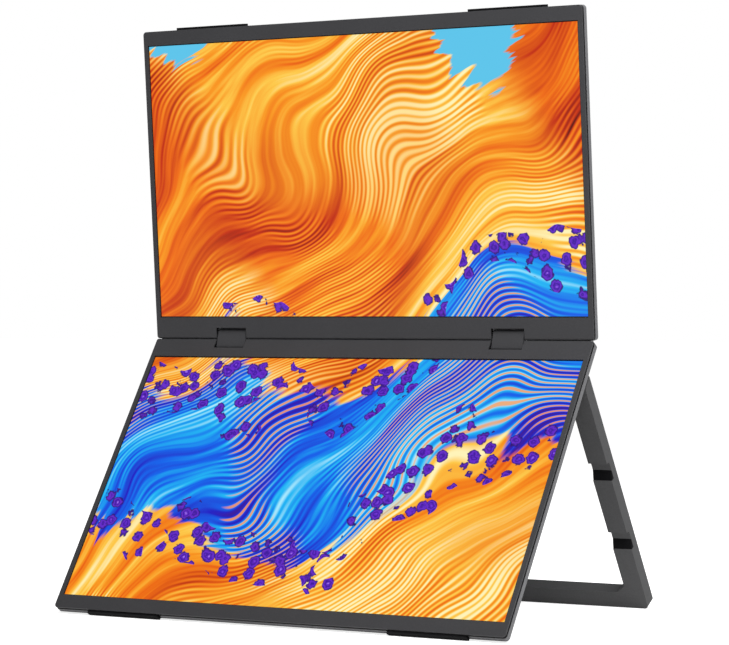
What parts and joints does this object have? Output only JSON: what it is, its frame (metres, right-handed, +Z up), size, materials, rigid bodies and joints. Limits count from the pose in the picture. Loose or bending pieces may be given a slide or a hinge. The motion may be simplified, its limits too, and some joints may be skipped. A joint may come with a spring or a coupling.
{
  "type": "foldable dual portable display",
  "caption": "Two stacked portable displays joined by two-axle friction hinges, with a swing-out frame stand behind the lower one.",
  "frame": {"origin": "middle of the footprint of the part's bounding box, on the surface that it stands on", "axes": "+Z up, +X to the viewer's right, +Y to the back, away from the viewer"},
  "size_m": [0.3526, 0.2121, 0.4073],
  "materials": {
    "bezel": "fine matt moulded front plate",
    "band": "matt black frame",
    "screen": "matt anti-glare display glass",
    "tray": "satin pressed tray",
    "shell": "fine textured moulded shell",
    "board": "coated circuit board",
    "switch": "small pressed steel",
    "socket": "satin steel",
    "ribbon": "polyimide film",
    "speaker": "matt black",
    "steel": "plain steel",
    "rubber": "matt soft rubber",
    "button": "matt moulded button",
    "stand": "dark matt coated casting",
    "hinge": "dark matt cover"
  },
  "bodies": {
    "lower_display": {"lower_front_bezel": "bezel", "lower_mid_frame": "band", "lower_lcd_glass": "screen", "lower_backlight_unit": "tray", "lower_back_shell": "shell", "lower_controller_board": "board", "lower_tact_switches": "switch", "lower_usb_sockets": "socket", "lower_hdmi_socket": "socket", "lower_timing_board": "board", "lower_ribbon_cable": "ribbon", "lower_speakers": "speaker", "lower_hinge_leaves": "steel", "lower_hinge_axles": "steel", "lower_leaf_screws": "steel", "lower_edge_feet": "rubber", "stand_bracket_left": "stand", "stand_bracket_right": "stand", "bracket_screws": "steel"},
    "hinge_blocks": {"hinge_left_front_cover": "hinge", "hinge_left_rear_cover": "hinge", "hinge_left_clips": "steel", "hinge_right_front_cover": "hinge", "hinge_right_rear_cover": "hinge", "hinge_right_clips": "steel"},
    "upper_display": {"upper_front_bezel": "bezel", "upper_mid_frame": "band", "upper_lcd_glass": "screen", "upper_backlight_unit": "tray", "upper_back_shell": "shell", "upper_controller_board": "board", "upper_tact_switches": "switch", "upper_usb_sockets": "socket", "upper_hdmi_socket": "socket", "upper_timing_board": "board", "upper_ribbon_cable": "ribbon", "upper_speakers": "speaker", "upper_hinge_leaves": "steel", "upper_hinge_axles": "steel", "upper_leaf_screws": "steel", "upper_edge_feet": "rubber"},
    "stand": {"stand_leg_left": "stand", "stand_leg_right": "stand", "stand_rail": "stand", "stand_strips": "rubber", "stand_pins": "steel", "stand_washers": "steel"},
    "lower_power": {"lower_power_button": "button"},
    "lower_menu": {"lower_menu_rocker": "button"},
    "upper_power": {"upper_power_button": "button"},
    "upper_menu": {"upper_menu_rocker": "button"}
  },
  "joints": [
    {"name": "lower_hinge", "type": "hinge", "parent": "lower_display", "child": "hinge_blocks", "pos_m": [0, 0.01957, 0.17989], "axis": [1, 0, 0], "range_deg": [-64.05, 70.95]},
    {"name": "upper_hinge", "type": "hinge", "parent": "hinge_blocks", "child": "upper_display", "pos_m": [0, 0.02247, 0.19025], "axis": [1, 0, 0], "range_deg": [-64.05, 70.95]},
    {"name": "stand_hinge", "type": "hinge", "parent": "lower_display", "child": "stand", "pos_m": [0, 0.01271, 0.15277], "axis": [1, 0, 0], "range_deg": [-65.4, 0]},
    {"name": "lower_power_press", "type": "slide", "parent": "lower_display", "child": "lower_power", "axis": [1, 0, 0], "range_m": [0, 0.0004], "stiffness_N_per_m": 500, "springref_m": -0.001},
    {"name": "lower_menu_rock", "type": "hinge", "parent": "lower_display", "child": "lower_menu", "pos_m": [-0.1743, -0.05735, 0.06652], "axis": [0, 0.8221, -0.5693], "range_deg": [-2.5, 2.5], "stiffness_Nm_per_rad": 0.02},
    {"name": "upper_power_press", "type": "slide", "parent": "upper_display", "child": "upper_power", "axis": [1, 0, 0], "range_m": [0, 0.0004], "stiffness_N_per_m": 500, "springref_m": -0.001},
    {"name": "upper_menu_rock", "type": "hinge", "parent": "upper_display", "child": "upper_menu", "pos_m": [-0.1743, 0.01565, 0.32709], "axis": [0, 0.9982, 0.0593], "range_deg": [-2.5, 2.5], "stiffness_Nm_per_rad": 0.02}
  ]
}
